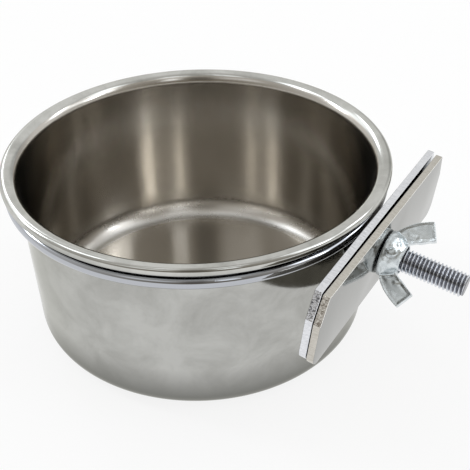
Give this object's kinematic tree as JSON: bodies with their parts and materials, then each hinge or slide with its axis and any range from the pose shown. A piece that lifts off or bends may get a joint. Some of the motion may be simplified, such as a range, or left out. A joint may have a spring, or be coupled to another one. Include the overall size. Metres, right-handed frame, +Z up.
{
  "type": "clamp-on bird cage cup",
  "caption": "Round steel cup with a rolled lip, hung in a wire ring with a plate, bolt and wing nut that clamp it to a cage's wires, for water or seed.",
  "frame": {"origin": "centre of the cup's flat base", "axes": "+X from the cup's axis out through the bracket, in the bolt's vertical plane; +Z up along the cup's axis"},
  "size_m": [0.1643, 0.1324, 0.064],
  "materials": {
    "cup_steel": "polished stainless, faint draw marks inside",
    "ring_chrome": "bright chrome plate",
    "plate_chrome": "bright chrome plate, rough cut corners",
    "clamp_plate_steel": "mirror polished face, plain cut edges",
    "bolt_zinc": "bright zinc plate, cut thread",
    "nut_zinc": "zinc plate over a forged surface",
    "weld_metal": "plated weld bead"
  },
  "bodies": {
    "holder": {"holder_ring": "ring_chrome", "fixed_plate": "plate_chrome", "clamp_bolt": "bolt_zinc", "ring_weld_left": "weld_metal", "ring_weld_right": "weld_metal"},
    "cup": {"cup": "cup_steel"},
    "clamp_plate": {"clamp_plate": "clamp_plate_steel"},
    "wing_nut": {"wing_nut": "nut_zinc"}
  },
  "joints": [
    {"name": "cup_lift", "type": "slide", "parent": "holder", "child": "cup", "axis": [0, 0, 1], "range_m": [0, 0.07]},
    {"name": "clamp_slide", "type": "slide", "parent": "holder", "child": "clamp_plate", "axis": [0.9925, 0, -0.1219], "range_m": [0, 0.02]},
    {"name": "nut_spin", "type": "hinge", "parent": "clamp_plate", "child": "wing_nut", "pos_m": [0.07062, 0, 0.04685], "axis": [0.9925, 0, -0.1219], "range_deg": [-1, 5761]}
  ],
  "couplings": [
    {"joint": "nut_spin", "follows": "clamp_slide", "rad_per_m": 5026.5}
  ]
}
